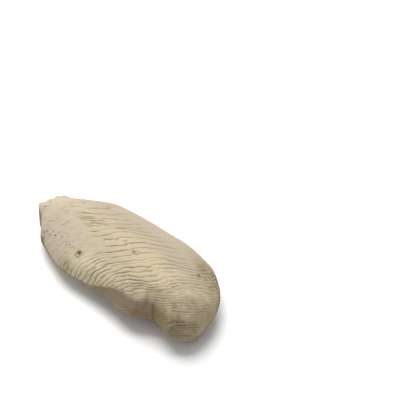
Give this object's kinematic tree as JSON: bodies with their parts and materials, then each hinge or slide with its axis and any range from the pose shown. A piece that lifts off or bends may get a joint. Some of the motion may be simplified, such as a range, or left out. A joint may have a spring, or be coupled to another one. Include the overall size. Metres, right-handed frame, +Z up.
{
  "type": "cuttlebone",
  "caption": "Dried cuttlebone lying on its hard shield: an oval, domed chalky bone with wavy growth ridges, a smooth round front end and a broken tail end.",
  "frame": {"origin": "under the middle of the bone's box, on the surface that it rests on", "axes": "+X along the bone towards its round front end, +Y across it, +Z up from the hard shield to the ridged side"},
  "size_m": [0.1534, 0.0738, 0.0285],
  "materials": {
    "chalky_bone": "matte, dry and chalky, cream ridges with darker olive-brown grooves"
  },
  "bodies": {
    "root": {"cuttlebone": "chalky_bone"}
  },
  "joints": []
}
